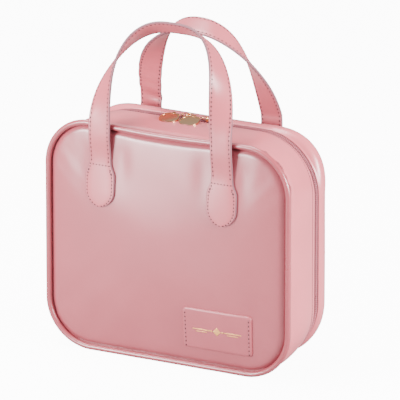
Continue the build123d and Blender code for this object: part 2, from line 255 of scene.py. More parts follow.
def new_material(name):
    """A material with its Principled shader, and the node and link makers."""
    material = bpy.data.materials.new(name)
    material.use_nodes = True
    tree = material.node_tree
    return material, tree.nodes["Principled BSDF"], tree.nodes, tree.links.new


def leather(name, color, shade, roughness=0.36, grain=0.15, softness=0.3, coat=0.12):
    """Smooth synthetic leather: a thin glossy film over a fine grain."""
    material, shader, nodes, link = new_material(name)
    surface = nodes.new("ShaderNodeGroup")
    surface.node_tree = leather_grain
    for name, value in (("Color", (*color, 1)), ("Shade", (*shade, 1)), ("Roughness", roughness),
                        ("Grain", grain), ("Softness", softness)):
        surface.inputs[name].default_value = value
    for result, socket in (("Color", "Base Color"), ("Roughness", "Roughness"),
                           ("Normal", "Normal")):
        link(surface.outputs[result], shader.inputs[socket])
    shader.inputs["Coat Weight"].default_value = coat
    shader.inputs["Coat Roughness"].default_value = 0.3
    shader.inputs["Specular IOR Level"].default_value = 0.5
    return material


def wear(piece, material, body, slot, *nodes):
    """Give a finished piece its material and its body, and hide the nodes that it stands for; slot
    is not used.
    """
    piece.data.materials.clear()
    piece.data.materials.append(material)
    pick(piece)
    bpy.ops.object.shade_smooth()
    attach(piece, body)
    if nodes:
        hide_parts(*nodes)
    return piece


# A darker copy of the gusset's leather: the difference is painted shade over the front.
panel_pink_shaded = leather("panel leather with painted shade", (0.30, 0.060, 0.075), (0.275, 0.053, 0.067), 0.27,
                     softness=0.2, coat=0.2)
pad_low = Vector((panel_low.x - tuck, front_face, panel_low.z - tuck))
pad_high = Vector((panel_high.x + tuck, front_face + pad_depth, panel_high.z + tuck))
front_panel = rounded_plate("front_panel_leather", pad_low, pad_high, panel_corner + tuck)
apply_modifier(front_panel, "REMESH", mode="VOXEL", voxel_size=pad_voxel)
panel_middle = (panel_low + panel_high) / 2
panel_half = (panel_high - panel_low) / 2
panel_rest = swell(front_panel, lambda co: co.y > front_face + 0.3 * pad_depth, 20 * mm)
panel_rise = max(old.y - v.co.y for v, old in zip(front_panel.data.vertices, panel_rest))
for vertex, old in zip(front_panel.data.vertices, panel_rest):
    side = max(1 - abs((old.x - panel_middle.x) / panel_half.x) ** crown_edge, 0)
    up = max(1 - abs((old.z - panel_middle.z) / panel_half.z) ** crown_edge, 0)
    share = (side * up) ** crown_flatness
    if panel_rise > least_rise:
        share += cloth_share * ((old.y - vertex.co.y) / panel_rise - share)
    in_front = clamp((front_face + pad_depth / 2 - old.y) / (pad_depth / 2))
    dent = sum(depth * fade(old.x - tab_x - side_of * dent_away, dent_width)
               * fade(old.z - dent_height, dent_length)
               for tab_x in tab_places for side_of, depth in tab_dents)
    dent -= slack_depth * noise.noise(old / slack_size)
    vertex.co = old + Vector((0, in_front * (dent * min(share * 3, 1) - panel_crown * share), 0))
apply_modifier(front_panel, "SUBSURF", levels=1, render_levels=1)
for vertex in front_panel.data.vertices:
    across = abs(vertex.co.x - panel_middle.x) - panel_half.x + panel_corner
    above = abs(vertex.co.z - panel_middle.z) - panel_half.z + panel_corner
    from_edge = panel_corner - sqrt(max(across, 0) ** 2 + max(above, 0) ** 2)
    if max(across, above) < 0:
        from_edge = panel_corner - max(across, above)
    if vertex.co.y < front_face + pad_depth / 2:
        vertex.co.y += groove * fade(max(from_edge, 0), groove)
    vertex.co = sunk(vertex.co)
wear(front_panel, panel_pink_shaded, "base", "panel_leather", "front_panel")
panel_tree = BVHTree.FromObject(front_panel, bpy.context.evaluated_depsgraph_get())


def panel_face(x, z):
    """The depth of the front panel's outer face, where it carries a tab or the patch."""
    hit = panel_tree.ray_cast(Vector((x, front_face - 0.1, z)), Vector((0, 1, 0)))
    return hit[0].y if hit[0] else front_face


# ---- Piping -------------------------------------------------------------------------------
# A strip of the same leather folded over a 5 mm cord and caught in the seam between the front
# panel and the gusset. Its two ends butt together under the case.
piping_low, piping_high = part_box("front_piping")
piping_radius = (piping_high.y - piping_low.y) / 2
piping_corner = 44 * mm
piping_joint_x = -17 * mm
zip_y = next(j for j in frame["joints"] if j["name"] == "lid_hinge")["pos_m"][1]
gusset_low, gusset_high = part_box("front_gusset")
shell_low, shell_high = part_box("rear_shell")
zip_corner = 54 * mm
stretches = (0.105, 0.142, 0.165, 0.142, 0.21, 0.142, 0.165, 0.142, 0.105)
flange_width = 9 * mm


def rounded_outline(step, low_x, high_x, low_z, high_z, corner):
    """A place and its outward direction on a rounded rectangle.

    step goes from 0 at the bottom middle, right, up and round to 1. The stretches have the
    same shares of step on every outline, so that two outlines can be joined point to point.
    """
    middle_x = (low_x + high_x) / 2
    at = (step % 1.0) * sum(stretches)
    number = 0
    while at > stretches[number] and number < 8:
        at -= stretches[number]
        number += 1
    share = at / stretches[number]
    near_x, far_x = low_x + corner, high_x - corner
    near_z, far_z = low_z + corner, high_z - corner
    if number in (1, 3, 5, 7):
        centre_x = far_x if number < 4 else near_x
        centre_z = near_z if number in (1, 7) else far_z
        turn = -pi / 2 + (number // 2 + share) * pi / 2
        out = Vector((cos(turn), 0, sin(turn)))
        return Vector((centre_x, 0, centre_z)) + out * corner, out
    if number == 0:
        return Vector((middle_x + (far_x - middle_x) * share, 0, low_z)), Vector((0, 0, -1))
    if number == 2:
        return Vector((high_x, 0, near_z + (far_z - near_z) * share)), Vector((1, 0, 0))
    if number == 4:
        return Vector((far_x + (near_x - far_x) * share, 0, high_z)), Vector((0, 0, 1))
    if number == 6:
        return Vector((low_x, 0, far_z + (near_z - far_z) * share)), Vector((-1, 0, 0))
    return Vector((near_x + (middle_x - near_x) * share, 0, low_z)), Vector((0, 0, -1))


def wrapped_sheet(name, columns, rows, place, joined=False):
    """A grid with every point put where place(u, v) says; joined welds the edges that meet."""
    deselect()
    bpy.ops.mesh.primitive_grid_add(x_subdivisions=columns, y_subdivisions=rows, size=1)
    sheet = bpy.context.object
    sheet.name = name
    for vertex in sheet.data.vertices:
        vertex.co = place(vertex.co.x + 0.5, vertex.co.y + 0.5)
    bpy.ops.object.mode_set(mode="EDIT")
    bpy.ops.mesh.select_all(action="SELECT")
    if joined:
        bpy.ops.mesh.remove_doubles(threshold=0.00001)
    bpy.ops.mesh.normals_make_consistent(inside=False)
    bpy.ops.object.mode_set(mode="OBJECT")
    return sheet


def lumps(place, size, seed):
    """Smooth unevenness between -1 and 1 with lumps of about this size."""
    return noise.noise(place / size + Vector((seed, seed * 0.7, seed * 1.3)))


def piping_place(u, v):
    """The roll's surface: u runs round the case, v round the roll."""
    middle, out = rounded_outline(u, piping_low.x + piping_radius, piping_high.x - piping_radius,
                                  piping_low.z + piping_radius, piping_high.z - piping_radius,
                                  piping_corner - piping_radius)
    middle.y = piping_low.y + piping_radius
    radius = piping_radius * (1 + 0.03 * lumps(middle, 0.02, 3))
    if middle.z < piping_corner / 2:
        radius *= 1 - 0.22 * fade(middle.x - piping_joint_x, 0.8 * mm)
    turn = 2 * pi * v
    return sunk(middle + out * (radius * cos(turn)) + Vector((0, radius * sin(turn), 0)))


def flange_place(u, v):
    """The strip's flat flange, from inside the roll to well under the panel's edge."""
    inset = piping_radius + flange_width * v
    middle, out = rounded_outline(u, piping_low.x + inset, piping_high.x - inset,
                                  piping_low.z + inset, piping_high.z - inset,
                                  piping_corner - inset)
    middle.y = piping_low.y + piping_radius
    middle.y += (front_face + groove + 1.6 * mm - middle.y) * min(3 * v, 1)
    return sunk(middle)


# A still darker copy of the same leather: the difference is painted shade along the roll and its
# grooves.
piping_pink_shaded = leather("piping leather with painted shade", (0.26, 0.046, 0.058), (0.235, 0.040, 0.051), 0.24,
                      softness=0.1)
piping = wrapped_sheet("piping_roll", 420, 18, piping_place, joined=True)
wear(piping, piping_pink_shaded, "base", "piping_leather", "front_piping")
flange = wrapped_sheet("piping_flange", 420, 10, flange_place, joined=True)
apply_modifier(flange, "SOLIDIFY", thickness=0.8 * mm, offset=0)
wear(flange, piping_pink_shaded, "base", "piping_leather")


# ---- Front gusset -------------------------------------------------------------------------
# One band of leather over foam, sewn to the panel and piping in front and to the zip tape
# behind. Its back edge is folded under and top stitched.
gusset_corner = 40.5 * mm
fold = 1.1 * mm
window_edge = gusset_high.y
gusset_pink = leather("gusset leather", (0.45, 0.098, 0.118), (0.41, 0.088, 0.106), 0.29,
                      softness=0.25)


def gusset_section(y):
    """The gusset's outline at a depth: its sides, bottom, top and corner radius."""
    share = clamp((y - gusset_low.y) / (zip_y - gusset_low.y))
    half = gusset_high.x + share * (shell_high.x - gusset_high.x)
    top = gusset_high.z + share * (shell_high.z - gusset_high.z)
    return half, top, gusset_corner + share * (zip_corner - gusset_corner)


gusset_seam = ((0.2, -3.0), (1.0, -2.5), (1.7, -1.0), (2.7, 0.2), (4.0, 0.5), (5.1, 0.1),
               (6.0, -1.0), (7.2, -0.8), (9.5, 0.0))  # mm behind the piping, mm of rise
seam_end, fold_start = 0.3, 0.9  # of the way back
seam_width = gusset_seam[-1][0] * mm
gusset_body = 1.6 * mm


def gusset_profile(v):
    """Depth and rise of the gusset's skin: the turned seam behind the piping, the padded body
    and the folded edge."""
    run = window_edge - gusset_low.y
    if v < seam_end:
        at = v / seam_end * (len(gusset_seam) - 1)
        number = int(at)
        (depth, rise), (next_depth, next_rise) = gusset_seam[number:number + 2]
        share = at - number
        return (gusset_low.y + (depth + (next_depth - depth) * share) * mm,
                (rise + (next_rise - rise) * share) * mm)
    if v < fold_start:
        share = (v - seam_end) / (fold_start - seam_end)
        depth = gusset_low.y + seam_width + (run - seam_width - fold) * share
        return depth, gusset_body * sin(pi * share) ** 0.8
    share = (v - fold_start) / (1 - fold_start) * pi / 2
    return window_edge - fold + fold * sin(share), -fold * (1 - cos(share))


def gusset_place(u, v):
    """The gusset's skin: u runs round the case, v from the piping to the zip."""
    depth, rise = gusset_profile(v)
    half, top, corner = gusset_section(depth)
    place, out = rounded_outline(u, -half, half, 0, top, corner)
    place.y = depth
    body = sin(pi * clamp((v - seam_end) / (fold_start - seam_end)))
    if out.z < -0.95:
        rise = min(rise, 0)
        body = 0
    return sunk(place + out * (rise + 0.5 * mm * body * lumps(place, 0.045, 8)))


gusset = wrapped_sheet("gusset_leather_band", 320, 56, gusset_place, joined=True)
apply_modifier(gusset, "SOLIDIFY", thickness=1.0 * mm, offset=-1)
wear(gusset, gusset_pink, "base", "gusset_leather", "front_gusset")
foam_front, foam_back = front_face + 13.5 * mm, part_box("gusset_foam")[1].y


def foam_place(u, v):
    """The outer face of the foam sheet that is glued inside the gusset's leather."""
    depth = foam_front + (foam_back - foam_front) * v
    half, top, corner = gusset_section(depth)
    place, out = rounded_outline(u, -half, half, 0, top, corner)
    place.y = depth
    return place - out * (1.5 + 0.1 * lumps(place, 0.03, 12)) * mm


gusset_foam = wrapped_sheet("gusset_foam_band", 240, 16, foam_place, joined=True)
apply_modifier(gusset_foam, "SOLIDIFY", thickness=1.9 * mm, offset=-1)


# ---- Rear shell ---------------------------------------------------------------------------
# The lid's skin: a back panel and a shallow gusset with a soft, rounded edge and no piping.
# Its front edge is folded under beside the zip.
lid_edge = shell_low.y
edge_round = 13 * mm
back_crown = 2.6 * mm
corner_puff = 5 * mm
side_bulge = 0.9 * mm
lid_fold, lid_flat, lid_round = 0.08, 0.3, 0.55  # where each stretch of the skin ends


def puff(out, v):
    """How much fuller the skin is towards a corner, most at the top ones."""
    most = corner_puff if out.z > 0 else 0.3 * corner_puff
    return most * abs(2 * out.x * out.z) ** 1.5 * sin(pi * clamp((v - lid_fold) / 0.62)) ** 0.8


def lid_place(u, v):
    """The lid's skin: v runs from the folded edge back, over the rounded edge, to the middle."""
    half, low, top = shell_high.x, shell_low.z, shell_high.z
    straight = shell_high.y - edge_round - lid_edge
    if v < lid_fold:
        turn = v / lid_fold * pi / 2
        depth = lid_edge + fold * (1 - cos(turn))
        inset = fold * (1 - sin(turn))
    elif v < lid_flat:
        share = (v - lid_fold) / (lid_flat - lid_fold)
        depth = lid_edge + fold + (straight - fold) * share
        inset = -side_bulge * sin(pi * share * 0.9)
    elif v < lid_round:
        share = (v - lid_flat) / (lid_round - lid_flat)
        depth = shell_high.y - edge_round * (1 - sin(share * pi / 2))
        inset = edge_round * (1 - cos(share * pi / 2)) - side_bulge * sin(pi * 0.9) * (1 - share)
    else:
        share = (v - lid_round) / (1 - lid_round)
        place, out = rounded_outline(u, -half + edge_round, half - edge_round, low + edge_round,
                                     top - edge_round, zip_corner - edge_round)
        place += out * puff(out, lid_round)
        spot = place.lerp(Vector((0, 0, (low + top) / 2)), share)
        crown = back_crown * (1 - (1 - share) ** 3)
        spot.y = shell_high.y + crown + 0.5 * mm * share * lumps(spot, 0.06, 5)
        return spot
    place, out = rounded_outline(u, -half, half, low, top, zip_corner)
    if out.z < -0.95:
        inset = max(inset, 0)
    place -= out * (inset - puff(out, v))
    place.y = depth
    return place + out * (0.4 * mm * sin(pi * min(v / lid_round, 1)) * lumps(place, 0.05, 21))


shell = wrapped_sheet("rear_shell_leather", 320, 60, lid_place, joined=True)
apply_modifier(shell, "SOLIDIFY", thickness=1.0 * mm, offset=-1)
wear(shell, gusset_pink, "lid", "gusset_leather", "rear_shell")


# ---- Zip ----------------------------------------------------------------------------------
# Woven tapes sewn under the folded edges, each with a nylon coil. The coils mesh in front of
# and behind the sliders. The gusset is top stitched to its tape.
zip_start = 0.1335  # of the way round from the bottom middle
coil_pitch = 1.7 * mm
coil_reach = 3.6 * mm
coil_overlap = 0.8 * mm
stitch_pitch = 3.9 * mm
side_row, top_row = 6.5 * mm, 3.5 * mm  # of top stitching, in front of the folded edge
slider_places = (-8 * mm, 12 * mm)


def woven(name, color, shade, scale=1400):
    """Woven fabric: fine crossed threads with a slight slub."""
    material, shader, nodes, link = new_material(name)
    highest = None
    for axis in "XYZ":
        wave = patterned(nodes, link, "ShaderNodeTexWave", scale / 6.28)
        wave.bands_direction = axis
        wave.inputs["Distortion"].default_value = 0.6
        thread = wave.outputs["Fac"]
        if highest:
            higher = nodes.new("ShaderNodeMath")
            higher.operation = "MAXIMUM"
            link(highest, higher.inputs[0])
            link(thread, higher.inputs[1])
            thread = higher.outputs["Value"]
        highest = thread
    slub = patterned(nodes, link, "ShaderNodeTexNoise", 60)
    link(two_tone(nodes, link, slub.outputs["Fac"], color, shade), shader.inputs["Base Color"])
    bump = nodes.new("ShaderNodeBump")
    bump.inputs["Distance"].default_value = 0.12 * mm
    bump.inputs["Strength"].default_value = 0.5
    link(highest, bump.inputs["Height"])
    link(bump.outputs["Normal"], shader.inputs["Normal"])
    shader.inputs["Roughness"].default_value = 0.8
    return material


def dress(material, *nodes):
    """Give carried-over nodes their material."""
    for node in nodes:
        piece = bpy.data.objects[node]
        piece.data.materials.clear()
        piece.data.materials.append(material)


def mottled(name, color, shade, roughness, scale, metallic=0.0):
    """A small part's finish with slightly uneven colour: thread, nylon, foil or plating."""
    material, shader, nodes, link = new_material(name)
    spots = patterned(nodes, link, "ShaderNodeTexNoise", scale)
    link(two_tone(nodes, link, spots.outputs["Fac"], color, shade), shader.inputs["Base Color"])
    shader.inputs["Roughness"].default_value = roughness
    shader.inputs["Metallic"].default_value = metallic
    return material


def copies(name, template, frames):
    """One mesh with a copy of the template at each frame, a 4x4 matrix."""
    count = len(template.data.vertices)
    template.name = name
    if len(frames) > 1:
        apply_modifier(template, "ARRAY", count=len(frames), use_relative_offset=False,
                       use_constant_offset=True, constant_offset_displace=(1, 0, 0))
    for number, frame_here in enumerate(frames):
        for vertex in list(template.data.vertices)[number * count:(number + 1) * count]:
            vertex.co = frame_here @ (vertex.co - Vector((number, 0, 0)))
    return template


def frame_at(place, run, out):
    """A matrix with its X along run and its Z along out."""
    run = run.normalized()
    side = out.cross(run).normalized()
    out = run.cross(side)
    matrix = Matrix((run, side, out)).transposed().to_4x4()
    matrix.translation = place
    return matrix


def evenly(points, pitch, phase=0.0):
    """Places at even steps along a list of (place, out), as (place, run, out)."""
    found, wait = [], pitch * phase
    for (here, out_here), (there, out_there) in zip(points, points[1:]):
        length = (there - here).length
        at = wait
        while at < length and length > 0:
            share = at / length
            found.append((here.lerp(there, share), there - here,
                          out_here.lerp(out_there, share).normalized()))
            at += pitch
        wait = at - length
    return found


def seed_shape(length, width, height, segments=6, rings=4):
    """A low, rounded grain: one stitch, hole or coil loop, centred on the origin."""
    deselect()
    bpy.ops.mesh.primitive_uv_sphere_add(segments=segments, ring_count=rings, radius=0.5)
    grain = bpy.context.object
    grain.scale = (length, width, height)
    settle(grain)
    return grain


def zip_line(depth, inset, lift=0.0):
    """The zip's way round the case at a depth, as a list of (place, out)."""
    line = []
    for step in range(1201):
        share = zip_start + (1 - 2 * zip_start) * step / 1200
        place, out = rounded_outline(share, -shell_high.x, shell_high.x, lift, shell_high.z,
                                     zip_corner)
        line.append((place - out * inset + Vector((0, depth, 0)), out))
    return line


# The tape's dark colour is partly its own and partly painted shade: it is darkened to show the
# shadow in the gap between the coil and the lid's folded edge.
tape_weave_and_gap_shade = woven("zip tape and gap shade", (0.085, 0.020, 0.027), (0.065, 0.015, 0.021))
dress(tape_weave_and_gap_shade, "front_tape", "rear_tape")
coil_nylon = mottled("zip coil nylon", (0.32, 0.080, 0.100), (0.26, 0.063, 0.080), 0.35, 300)
for side, body, node in ((-1, "base", "front_coil"), (1, "lid", "rear_coil")):
    loops = []
    middle = zip_y + side * (coil_reach / 2 - coil_overlap)
    for place, run, out in evenly(zip_line(middle, 0.75 * mm), coil_pitch, 0.25 + side * 0.25):
        near_slider = place.z > shell_high.z - 2 * mm and any(
            abs(place.x - slider_x) < 5 * mm for slider_x in slider_places)
        if not near_slider:
            loops.append(frame_at(place, run, out))
    coil = copies(f"{body}_coil_loops", seed_shape(1.0 * mm, coil_reach, 1.4 * mm), loops)
    wear(coil, coil_nylon, body, "zip_coil", node)

thread_pink = mottled("stitch thread", (0.34, 0.10, 0.125), (0.29, 0.085, 0.105), 0.6, 500)
# Each needle's hole is drawn as a dark seed: its darkness is painted shade for the inside of the
# hole.
painted_hole_shade = mottled("needle hole painted shade", (0.035, 0.008, 0.012), (0.025, 0.006, 0.009), 0.8, 500)


def stitch(name, rows, body, slot="zip_tape", pitch=stitch_pitch):
    """Sewn rows: raised threads, with a dark seed of painted shade between each and the next where
    the thread goes into the leather.
    """
    threads, hole_shades = [], []
    for row in rows:
        for place, run, out in evenly(row, pitch, 0.5):
            threads.append(frame_at(place, run, out))
        for place, run, out in evenly(row, pitch, 0.02):
            hole_shades.append(frame_at(place, run, out))
    sewn = copies(name, seed_shape(0.56 * pitch, 0.7 * mm, 0.45 * mm), threads)
    wear(sewn, thread_pink, body, slot)
    hole_shade_mesh = copies(f"{name}_holes", seed_shape(0.5 * pitch, 1.4 * mm, 0.75 * mm), hole_shades)
    wear(hole_shade_mesh, painted_hole_shade, body, slot)


gusset_tree = BVHTree.FromObject(gusset, bpy.context.evaluated_depsgraph_get())
row = []
for place, out in zip_line(0, 0):
    place.y = window_edge - side_row + (side_row - top_row) * max(out.z, 0)
    hit = gusset_tree.ray_cast(place + out * 0.02, -out)
    if hit[0]:
        row.append((hit[0] + out * 0.08 * mm, out))
stitch("gusset_top_stitch", [row], "base", pitch=2.6 * mm)

end_cover = leather("zip end leather", (0.26, 0.08, 0.095), (0.22, 0.065, 0.08), 0.4)
dress(end_cover, "zip_end_tabs")


# ---- Hinge strip --------------------------------------------------------------------------
# One strip of leather under the case joins the gusset to the lid between the zip's two ends.
def hinge_place(u, v):
    """The strip's skin: u runs across under the case, v from the gusset to the lid."""
    turn = 1 - zip_start + 2 * zip_start * u
    place, out = rounded_outline(turn, -shell_high.x, shell_high.x, 0.25 * mm, shell_high.z,
                                 zip_corner)
    place.y = window_edge - 0.6 * mm + (lid_edge - window_edge + 1.2 * mm) * v
    sink = 0.9 * mm * (2 * v - 1) ** 6 - 0.1 * mm * (1 - (2 * v - 1) ** 2)
    return place - out * max(sink, 0.0)


strip = wrapped_sheet("hinge_leather", 120, 12, hinge_place)
apply_modifier(strip, "SOLIDIFY", thickness=0.8 * mm, offset=0)
strip_pink = leather("hinge leather", (0.42, 0.085, 0.10), (0.38, 0.075, 0.09))
strip.data.materials.clear()
strip.data.materials.append(strip_pink)
pick(strip)
bpy.ops.object.shade_smooth()
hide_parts("hinge_strip", "lid_hinge_strip")
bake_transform(strip)


# ---- Handles ------------------------------------------------------------------------------
# Each is one strap of leather, folded and sewn along both edges, with painted edges. Its two
# ends flare to round tabs that are stitched flat on the panel; above a cross stitch over each
# tab the strap stands away from the panel.
strap_half = 10.5 * mm
strap_thick = 2.4 * mm
tab_half = 14.5 * mm
cross_z = 173 * mm
tab_length = 38 * mm
stitch_inset = 2.2 * mm
case_top = piping_high.z
# roundness, start, rise, lean and its power, twist and its power, stand-off from the panel
arches = {"front": (2.8, -20 * mm, 86 * mm, 31 * mm, 1.8, radians(130), 1.1, 6.4 * mm),
          "rear": (2.2, -13 * mm, 80 * mm, 29 * mm, 1.0, radians(115), 1.5, 6.2 * mm)}
twist_start = radians(6)
ripple_top = 262 * mm
shell_tree = BVHTree.FromObject(shell, bpy.context.evaluated_depsgraph_get())


def back_face(x, z):
    """The depth of the lid's outer face, counted forwards as if it were the front panel."""
    hit = shell_tree.ray_cast(Vector((x, 0.1, z)), Vector((0, -1, 0)))
    return -hit[0].y if hit[0] else -shell_high.y


def strap_station(arch, turn, low=None):
    """The strap's place, run and face round half the arch, or at a height on its left leg."""
    roundness, start, rise, lean, lean_power, twist_most, twist_power, stand_off = arch
    high = rise - start
    if low is not None:
        place = Vector((-handle_half, 0, low))
        along = Vector((0, 0, 1))
    else:
        power = 2 / roundness
        place = Vector((-handle_half * abs(cos(turn)) ** power, 0,
                        case_top + start + high * sin(turn) ** power))
        along = Vector((handle_half * sin(turn) ** (2 - power), 0,
                        high * abs(cos(turn)) ** (2 - power))).normalized()
    outwards = Vector((-along.z, 0, along.x))
    climb = clamp((place.z - cross_z) / (29 * mm))
    away = strap_thick / 2 + (stand_off - strap_thick / 2) * (1 - cos(climb * pi)) / 2
    over = max(place.z - case_top, 0) / rise
    place.y = front_face - away + lean * over ** lean_power
    share = max((turn if low is None else 0) - twist_start, 0) / (pi / 2 - twist_start)
    twist = twist_most * sin(share * pi / 2) ** twist_power
    face = Vector((0, -1, 0)) * cos(twist) + outwards * sin(twist)
    return place, along, face


def strap_line(arch):
    """Stations from the left tab's end over the arch to the right tab's: place, run, across,
    face and half width."""
    half_line = []
    low = cross_z - tab_length
    for number in range(15):
        share = 1 - cos(number / 14 * pi / 2)
        half_line.append((low + tab_half * share, tab_half * sqrt(max(1 - (1 - share) ** 2, 0))))
    for height, half in ((low + tab_half + 5 * mm, tab_half), (cross_z - 12 * mm, tab_half),
                         (cross_z - 9 * mm, tab_half - 0.2 * mm), (cross_z - 6 * mm, 13.4 * mm),
                         (cross_z - 3 * mm, 11.9 * mm), (cross_z, 10.9 * mm),
                         (cross_z + 3 * mm, strap_half), (cross_z + 7 * mm, strap_half),
                         (cross_z + 11 * mm, strap_half)):
        half_line.append((height, half))
    stations = [(strap_station(arch, 0, height), half) for height, half in half_line]
    top = case_top + arch[1]
    for number in range(3):
        height = cross_z + 15 * mm + (top - cross_z - 15 * mm) * number / 3
        if height < top:
            stations.append((strap_station(arch, 0, height), strap_half))
    for number in range(49):
        stations.append((strap_station(arch, pi / 2 * (number / 48) ** 1.25), strap_half))
    line = []
    for number, ((place, _, face), half) in enumerate(stations):
        before = stations[max(number - 1, 0)][0][0]
        after = stations[min(number + 1, len(stations) - 1)][0][0]
        run = (after - before).normalized() if number < len(stations) - 1 else Vector((1, 0, 0))
        across = face.cross(run).normalized()
        line.append((place, run, across, run.cross(across), half))
    flip = Vector((-1, 1, 1))
    for place, run, across, face, half in reversed(line[:-1]):
        line.append((place * flip, Vector((run.x, -run.y, -run.z)),
                     across * flip, face * flip, half))
    return line


edge_points = ((0.0, 0.0), (0.12, 0.5), (0.5, 0.86), (1.1, 0.98), (1.9, 0.9), (2.6, 0.92),
               (3.6, 1.04))


def strap_section(half):
    """Points round the strap's section: across, thickness and whether it is painted edge."""
    points = []
    squeeze = min(half / (6 * mm), 1)
    face = [(-half + away * mm * squeeze, high, away < 0.6) for away, high in edge_points]
    face += [(half * share, 1.08, False) for share in (-0.4, 0.0, 0.4)]
    face += [(-across, high, edge) for across, high, edge in reversed(face[:len(edge_points)])]
    for across, high, edge in face:
        points.append((across, high * strap_thick / 2, edge))
    for across, high, edge in reversed(face[1:-1]):
        points.append((across, -high * strap_thick / 2, edge))
    return points


strap_pink = leather("strap leather", (0.40, 0.082, 0.100), (0.36, 0.073, 0.090), 0.30,
                     softness=0.12, coat=0.04)
strap_nodes, strap_link = strap_pink.node_tree.nodes, strap_pink.node_tree.links.new
strap_sockets = strap_nodes["Principled BSDF"].inputs
grain_node = next(node for node in strap_nodes if node.type == "GROUP")
edge_mask = strap_nodes.new("ShaderNodeAttribute")
edge_mask.attribute_name = "edge"
strap_link(two_tone(strap_nodes, strap_link, edge_mask.outputs["Fac"],
                    grain_node.outputs["Color"], (0.15, 0.050, 0.064)),
           strap_sockets["Base Color"])
strap_link(rougher(strap_nodes, strap_link, edge_mask.outputs["Fac"], 0.35,
                   grain_node.outputs["Roughness"]), strap_sockets["Roughness"])

for end, body, side, face_depth in ((1, "base", "front", panel_face),
                                    (-1, "lid", "rear", back_face)):
    line = strap_line(arches[side])
    ring = len(strap_section(strap_half))

    def settled(place):
        """Lay a point of the strap or its stitches on the crowned panel, and face it its way."""
        x = place.x + handle_x
        crown = max(front_face - face_depth(x, min(place.z, 200 * mm)), 0)
        climb = clamp((place.z - cross_z) / (34 * mm))
        crown *= 1 - climb * climb * (3 - 2 * climb)
        if side == "rear" and place.x < 0 and cross_z < place.z < ripple_top:
            ripple = sin((place.z - cross_z) / (ripple_top - cross_z) * pi) ** 2
            crown += 0.5 * mm * ripple * sin(place.z / (1.9 * mm) + place.x / (6 * mm))
        return Vector((x, end * (place.y - crown), place.z))

    def strap_place(u, v):
        """The strap's surface: u runs from tab to tab, v round its section."""
        number = min(int(u * (len(line) - 1) + 0.5), len(line) - 1)
        place, _, across, face, half = line[number]
        sideways, thick, _ = strap_section(half)[int(v * ring + 0.5) % ring]
        return settled(place + across * sideways + face * thick)

    handle = wrapped_sheet(f"{side}_strap", len(line) - 1, ring, strap_place)
    mask = handle.data.attributes.new("edge", "FLOAT", "POINT")
    columns = len(line)
    for index in range(len(handle.data.vertices)):
        painted = strap_section(strap_half)[(index // columns) % ring][2]
        mask.data[index].value = 1.0 if painted else 0.0
    bpy.context.view_layer.objects.active = handle
    bpy.ops.object.mode_set(mode="EDIT")
    bpy.ops.mesh.select_all(action="SELECT")
    bpy.ops.mesh.remove_doubles(threshold=0.00001)
    bpy.ops.mesh.normals_make_consistent(inside=False)
    bpy.ops.object.mode_set(mode="OBJECT")
    handle.data.materials.clear()
    handle.data.materials.append(strap_pink)
    pick(handle)
    bpy.ops.object.shade_smooth()
    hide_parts(f"{side}_handle", f"{side}_handle_tabs")
    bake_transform(handle)

    rows, tab_rows = [], []
    lift = strap_thick / 2 * 0.95
    outwards = Vector((0, -end, 0))
    for sign in (-1, 1):
        for face_sign in (1, -1):
            row = []
            for place, _, across, face, half in line:
                if place.z > cross_z + 1 * mm:
                    out = face * face_sign
                    spot = place + across * sign * (half - stitch_inset) + out * lift
                    row.append((settled(spot), Vector((out.x, end * out.y, out.z))))
            rows.append(row)
    for tab_x in tab_places:
        row = []
        for place, _, across, face, half in line:
            on_tab = place.z < cross_z - 0.5 * mm and (place.x < 0) == (tab_x < handle_x)
            if on_tab and half > 2.4 * mm:
                row += [(settled(place + across * sign * (half - stitch_inset) + face * lift),
                         outwards) for sign in (-1, 1)]
        row.sort(key=lambda point: atan2(point[0].x - tab_x, point[0].z - cross_z - 30 * mm))
        cross = []
        for number in range(21):
            x = tab_x - handle_x + (number / 20 - 0.5) * 19 * mm
            cross.append((settled(Vector((x, front_face - strap_thick, cross_z - 0.5 * mm))),
                          outwards))
        tab_rows += [row, cross]
    stitch(f"{side}_tab_stitch", tab_rows, body, "strap_leather", 3.1 * mm)
    stitch(f"{side}_strap_stitch", rows, f"{side}_handle", "strap_leather")


# ---- Label patch --------------------------------------------------------------------------
# A raised leather patch, sewn down along its two short sides only. The maker's lettering is
# left out; plain foil diamonds between pairs of rules take its place.
patch_low, patch_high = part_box("label_patch")
patch_middle = (patch_low + patch_high) / 2
patch_thick = front_face - patch_low.y
foil_lift = 0.12 * mm
patch_low.y, patch_high.y = front_face - patch_thick, front_face + 1 * mm
patch = rounded_plate("label_patch_leather", patch_low, patch_high, 3 * mm, 6)
apply_modifier(patch, "REMESH", mode="VOXEL", voxel_size=0.9 * mm)
apply_modifier(patch, "SMOOTH", factor=0.5, iterations=3)


def on_panel(place):
    """Lay a point that is drawn on the flat face on the crowned panel."""
    return Vector((place.x, place.y + panel_face(place.x, place.z) - front_face, place.z))


for vertex in patch.data.vertices:
    vertex.co = on_panel(vertex.co)
patch_pink = leather("patch leather", (0.32, 0.062, 0.078), (0.29, 0.055, 0.070), 0.33,
                     softness=0.1)
wear(patch, patch_pink, "base", "patch_leather", "label_patch")
patch_rows = []
for sign in (-1, 1):
    row = []
    for number in range(21):
        z = patch_middle.z + (number / 20 - 0.5) * (patch_high.z - patch_low.z - 3 * mm)
        x = patch_middle.x + sign * ((patch_high.x - patch_low.x) / 2 - 2.3 * mm)
        row.append((on_panel(Vector((x, front_face - patch_thick - 0.05 * mm, z))),
                    Vector((0, -1, 0))))
    patch_rows.append(row)
stitch("patch_stitch", patch_rows, "base", "strap_leather", 3.8 * mm)

foil = mottled("gold foil", (0.72, 0.36, 0.12), (0.62, 0.30, 0.10), 0.35, 400, 0.6)
foil_parts = []
